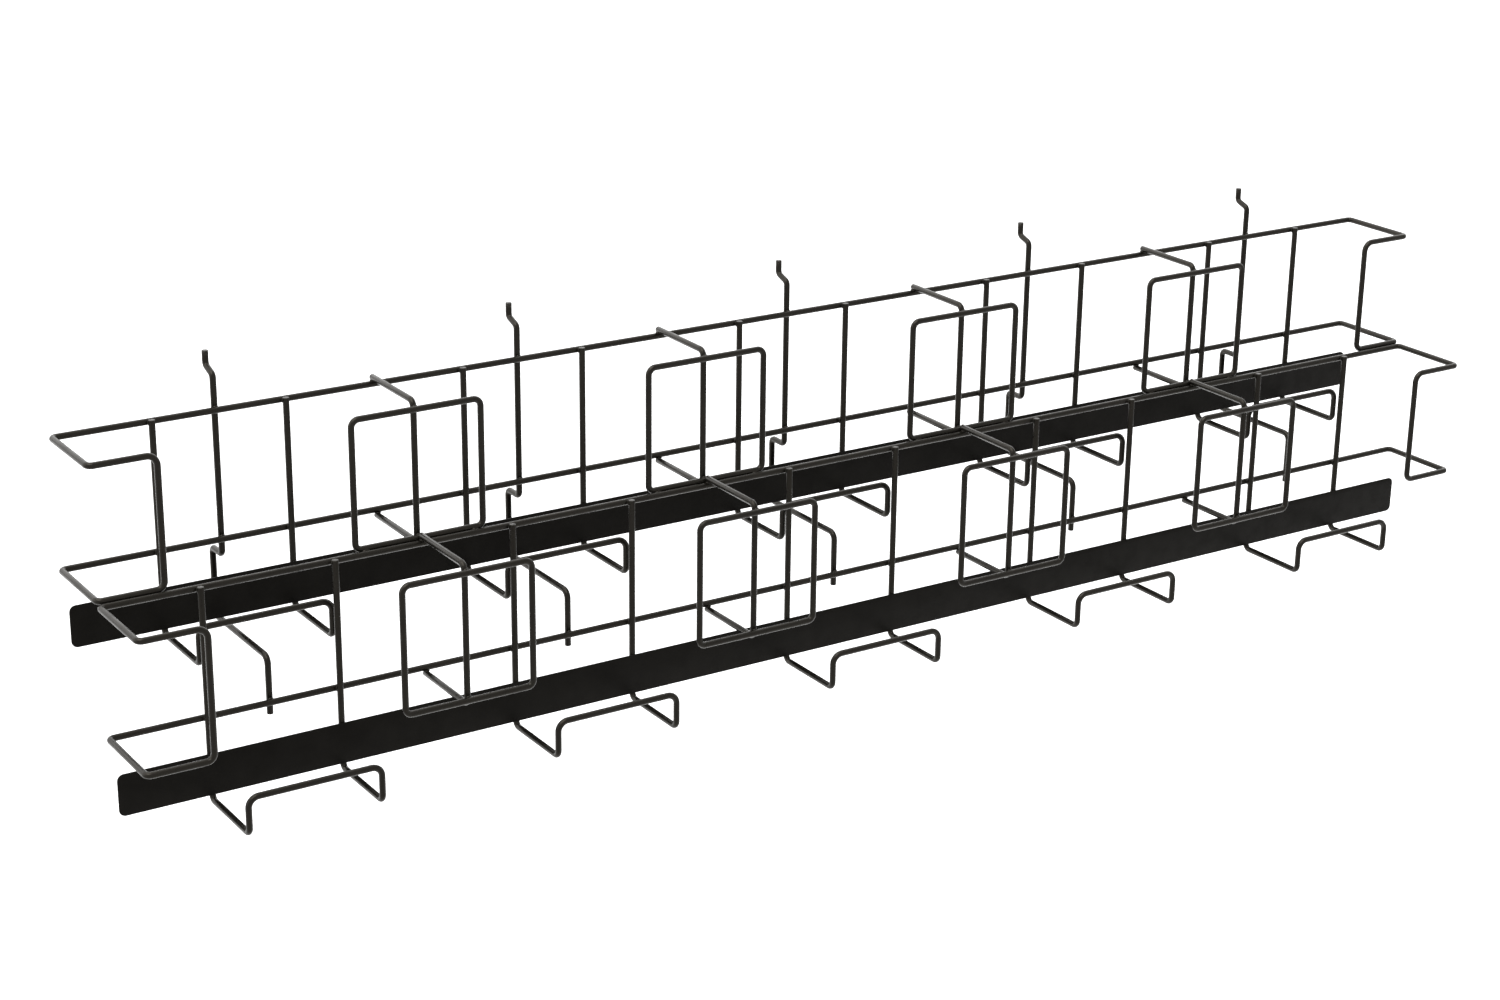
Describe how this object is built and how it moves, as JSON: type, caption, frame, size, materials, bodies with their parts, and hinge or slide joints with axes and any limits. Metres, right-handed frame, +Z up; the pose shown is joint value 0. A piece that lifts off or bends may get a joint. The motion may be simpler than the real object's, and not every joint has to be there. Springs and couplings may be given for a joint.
{
  "type": "cable tray",
  "caption": "Two-tier welded wire cable tray: two long open baskets, one behind and above the other, hung from cranked hook wires, each with front hooks and a flat strip.",
  "frame": {"origin": "centre of the middle hook tip's cut end, the point that goes up into its support", "axes": "+X along the tray to the right seen from the front, -Y towards the open front and the lower basket, +Z up"},
  "size_m": [1.255, 0.1765, 0.3095],
  "materials": {
    "coated_wire": "semi-gloss black powder coat on round steel wire",
    "coated_strip": "satin black powder coat on flat steel bar"
  },
  "bodies": {
    "root": {"rim_wire_upper": "coated_wire", "flat_strip_upper": "coated_strip", "j_wire_upper_1": "coated_wire", "j_wire_upper_2": "coated_wire", "j_wire_upper_3": "coated_wire", "j_wire_upper_4": "coated_wire", "j_wire_upper_5": "coated_wire", "c_wire_upper_1": "coated_wire", "c_wire_upper_2": "coated_wire", "c_wire_upper_3": "coated_wire", "c_wire_upper_4": "coated_wire", "front_frame_upper_1": "coated_wire", "front_frame_upper_2": "coated_wire", "front_frame_upper_3": "coated_wire", "front_frame_upper_4": "coated_wire", "rim_wire_lower": "coated_wire", "flat_strip_lower": "coated_strip", "j_wire_lower_1": "coated_wire", "j_wire_lower_2": "coated_wire", "j_wire_lower_3": "coated_wire", "j_wire_lower_4": "coated_wire", "j_wire_lower_5": "coated_wire", "c_wire_lower_1": "coated_wire", "c_wire_lower_2": "coated_wire", "c_wire_lower_3": "coated_wire", "c_wire_lower_4": "coated_wire", "front_frame_lower_1": "coated_wire", "front_frame_lower_2": "coated_wire", "front_frame_lower_3": "coated_wire", "front_frame_lower_4": "coated_wire", "hook_wire_1": "coated_wire", "hook_wire_2": "coated_wire", "hook_wire_3": "coated_wire", "hook_wire_4": "coated_wire", "hook_wire_5": "coated_wire"}
  },
  "joints": []
}
